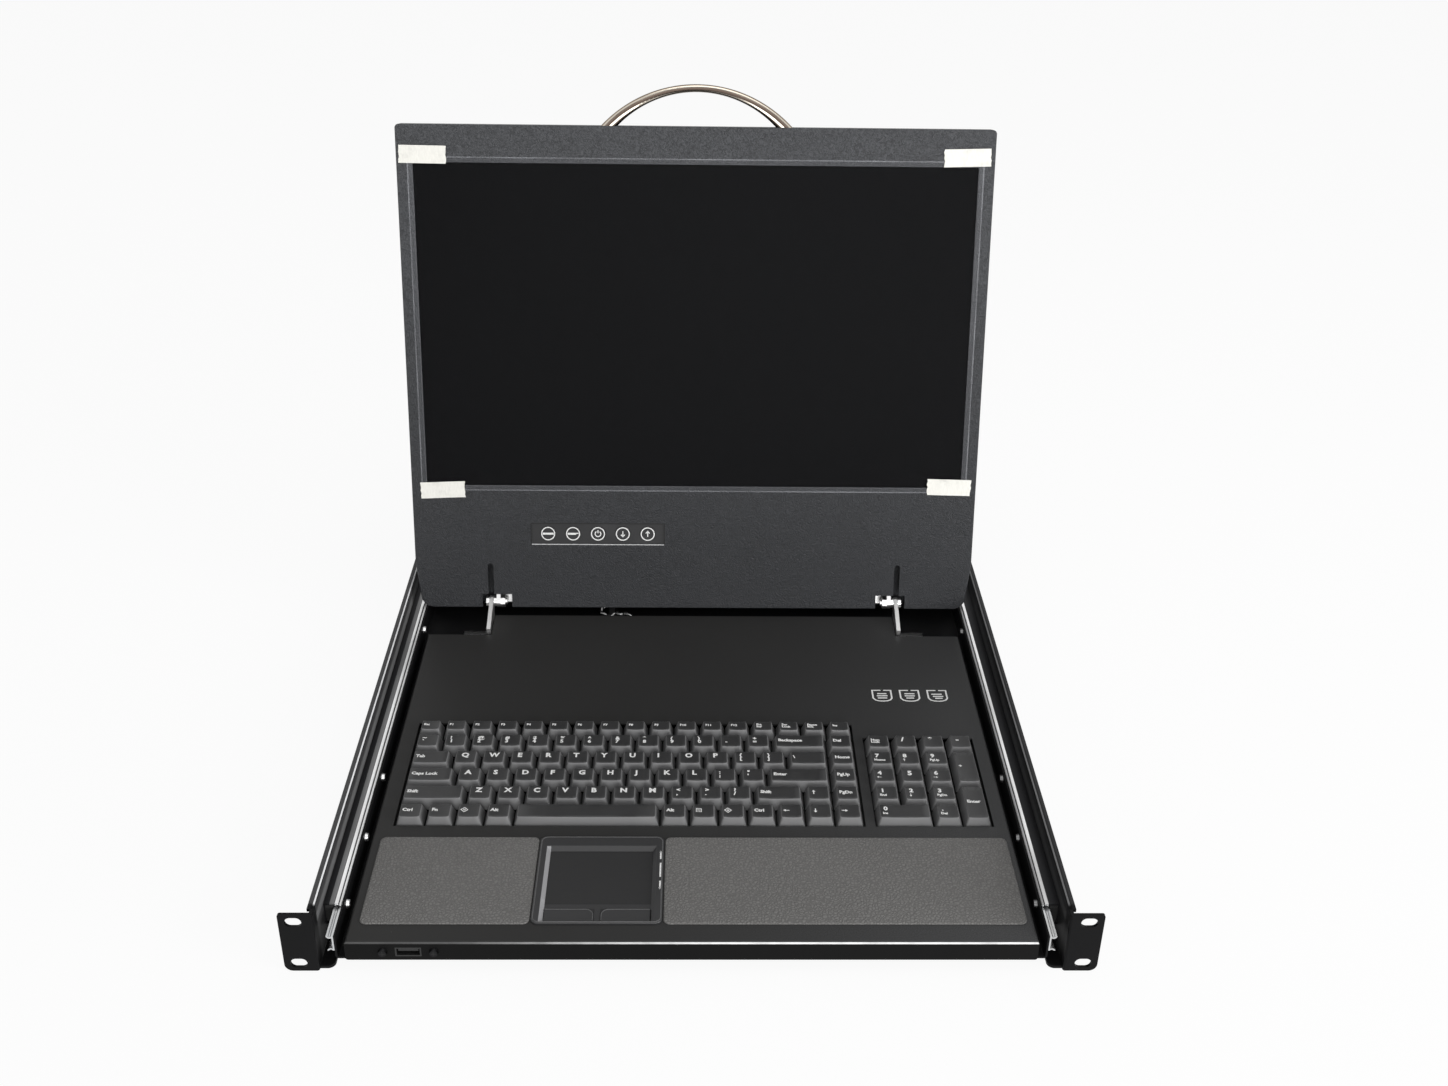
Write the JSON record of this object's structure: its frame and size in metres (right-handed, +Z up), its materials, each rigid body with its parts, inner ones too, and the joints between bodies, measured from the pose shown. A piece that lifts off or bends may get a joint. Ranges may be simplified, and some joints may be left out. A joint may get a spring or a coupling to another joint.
{
  "type": "rackmount lcd console drawer",
  "caption": "Low rack drawer on ball slides with a keyboard, touchpad and wrist pads, and a flat screen in a lid that folds down over them, with a bow handle.",
  "frame": {"origin": "centre of the four front ear holes, on the back faces of the ears", "axes": "+X to the right, +Y into the rack, +Z up"},
  "size_m": [0.4826, 0.6471, 0.4158],
  "materials": {
    "rack_black": "satin black powder coat",
    "deck_black": "satin black paint",
    "lid_coat": "fine textured dark grey powder coat",
    "zinc": "bright zinc plate",
    "ball_steel": "polished",
    "chrome": "polished chrome plate",
    "screw": "plated",
    "bumper": "matt",
    "keycap": "fine matt moulding with printed legends",
    "key_base": "matt moulding",
    "pad": "grained vinyl",
    "touch": "satin moulding",
    "lens": "clear smoke",
    "screen": "dark anti-glare panel",
    "film": "clear film",
    "tape": "paper tape",
    "button": "matt with printed symbols",
    "inlet": "moulded",
    "board": "circuit board",
    "cable": "cable jacket"
  },
  "bodies": {
    "rails": {"rail_left": "rack_black", "rail_right": "rack_black", "rear_bracket_left": "rack_black", "rear_bracket_right": "rack_black", "bracket_screws": "screw", "slide_outer_left": "zinc", "slide_outer_right": "zinc", "slide_rivets": "zinc", "slide_bumpers": "bumper"},
    "ball_cages": {"ball_cages": "zinc", "bearing_balls": "ball_steel"},
    "drawer": {"tray_pan": "rack_black", "keyboard_deck": "deck_black", "slide_inner_left": "zinc", "slide_inner_right": "zinc", "drawer_screws": "screw", "keyboard_base": "key_base", "wrist_pad_left": "pad", "wrist_pad_right": "pad", "touchpad_frame": "touch", "touchpad_surface": "touch", "lock_indicators": "lens", "usb_socket": "zinc", "hinge_arm_left": "zinc", "hinge_arm_right": "zinc", "rear_housing": "rack_black", "rear_cover": "rack_black", "power_inlet": "inlet", "switch_frame": "inlet", "video_socket": "zinc", "power_board": "board", "control_board": "board", "keyboard_cable": "cable"},
    "power_rocker": {"power_rocker": "inlet"},
    "lid": {"lid_back": "lid_coat", "lid_bezel": "lid_coat", "lcd_screen": "screen", "lcd_module": "screen", "screen_film": "film", "film_tabs": "tape", "button_strip": "button", "button_board": "board", "lid_handle": "chrome", "handle_screws": "screw", "lid_hinge_brackets": "zinc", "hinge_bolts": "zinc", "hinge_nuts": "zinc"},
    "keys_space_row": {"keys_space_row": "keycap"},
    "keys_shift_row": {"keys_shift_row": "keycap"},
    "keys_home_row": {"keys_home_row": "keycap"},
    "keys_tab_row": {"keys_tab_row": "keycap"},
    "keys_number_row": {"keys_number_row": "keycap"},
    "keys_function_row": {"keys_function_row": "keycap"},
    "touchpad_button_left": {"touchpad_button_left": "touch"},
    "touchpad_button_right": {"touchpad_button_right": "touch"},
    "screen_button_1": {"screen_button_1": "button"},
    "screen_button_2": {"screen_button_2": "button"},
    "screen_button_3": {"screen_button_3": "button"},
    "screen_button_4": {"screen_button_4": "button"},
    "screen_button_5": {"screen_button_5": "button"}
  },
  "joints": [
    {"name": "drawer_slide", "type": "slide", "parent": "rails", "child": "drawer", "axis": [0, -1, 0], "range_m": [0, 0.39202]},
    {"name": "cage_slide", "type": "slide", "parent": "rails", "child": "ball_cages", "axis": [0, -1, 0], "range_m": [0, 0.19601]},
    {"name": "lid_hinge", "type": "hinge", "parent": "drawer", "child": "lid", "pos_m": [0, 0.3619, 0.01222], "axis": [1, 0, 0], "range_deg": [-12.8, 102.2]},
    {"name": "power_rocker_tip", "type": "hinge", "parent": "drawer", "child": "power_rocker", "pos_m": [-0.112, 0.53002, 0.00475], "axis": [1, 0, 0], "range_deg": [-16, 0]},
    {"name": "keys_space_row_press", "type": "slide", "parent": "drawer", "child": "keys_space_row", "axis": [0, 0, -1], "range_m": [0, 0.003], "stiffness_N_per_m": 1500, "springref_m": -0.004},
    {"name": "keys_shift_row_press", "type": "slide", "parent": "drawer", "child": "keys_shift_row", "axis": [0, 0, -1], "range_m": [0, 0.003], "stiffness_N_per_m": 1500, "springref_m": -0.004},
    {"name": "keys_home_row_press", "type": "slide", "parent": "drawer", "child": "keys_home_row", "axis": [0, 0, -1], "range_m": [0, 0.003], "stiffness_N_per_m": 1500, "springref_m": -0.004},
    {"name": "keys_tab_row_press", "type": "slide", "parent": "drawer", "child": "keys_tab_row", "axis": [0, 0, -1], "range_m": [0, 0.003], "stiffness_N_per_m": 1500, "springref_m": -0.004},
    {"name": "keys_number_row_press", "type": "slide", "parent": "drawer", "child": "keys_number_row", "axis": [0, 0, -1], "range_m": [0, 0.003], "stiffness_N_per_m": 1500, "springref_m": -0.004},
    {"name": "keys_function_row_press", "type": "slide", "parent": "drawer", "child": "keys_function_row", "axis": [0, 0, -1], "range_m": [0, 0.003], "stiffness_N_per_m": 1500, "springref_m": -0.004},
    {"name": "touchpad_button_left_press", "type": "slide", "parent": "drawer", "child": "touchpad_button_left", "axis": [0, 0, -1], "range_m": [0, 0.0008], "stiffness_N_per_m": 800, "springref_m": -0.001},
    {"name": "touchpad_button_right_press", "type": "slide", "parent": "drawer", "child": "touchpad_button_right", "axis": [0, 0, -1], "range_m": [0, 0.0008], "stiffness_N_per_m": 800, "springref_m": -0.001},
    {"name": "screen_button_1_press", "type": "slide", "parent": "lid", "child": "screen_button_1", "axis": [0, 0.9774, -0.2113], "range_m": [0, 0.0006], "stiffness_N_per_m": 1500, "springref_m": -0.0006},
    {"name": "screen_button_2_press", "type": "slide", "parent": "lid", "child": "screen_button_2", "axis": [0, 0.9774, -0.2113], "range_m": [0, 0.0006], "stiffness_N_per_m": 1500, "springref_m": -0.0006},
    {"name": "screen_button_3_press", "type": "slide", "parent": "lid", "child": "screen_button_3", "axis": [0, 0.9774, -0.2113], "range_m": [0, 0.0006], "stiffness_N_per_m": 1500, "springref_m": -0.0006},
    {"name": "screen_button_4_press", "type": "slide", "parent": "lid", "child": "screen_button_4", "axis": [0, 0.9774, -0.2113], "range_m": [0, 0.0006], "stiffness_N_per_m": 1500, "springref_m": -0.0006},
    {"name": "screen_button_5_press", "type": "slide", "parent": "lid", "child": "screen_button_5", "axis": [0, 0.9774, -0.2113], "range_m": [0, 0.0006], "stiffness_N_per_m": 1500, "springref_m": -0.0006}
  ],
  "couplings": [
    {"joint": "cage_slide", "follows": "drawer_slide", "ratio": 0.5}
  ]
}
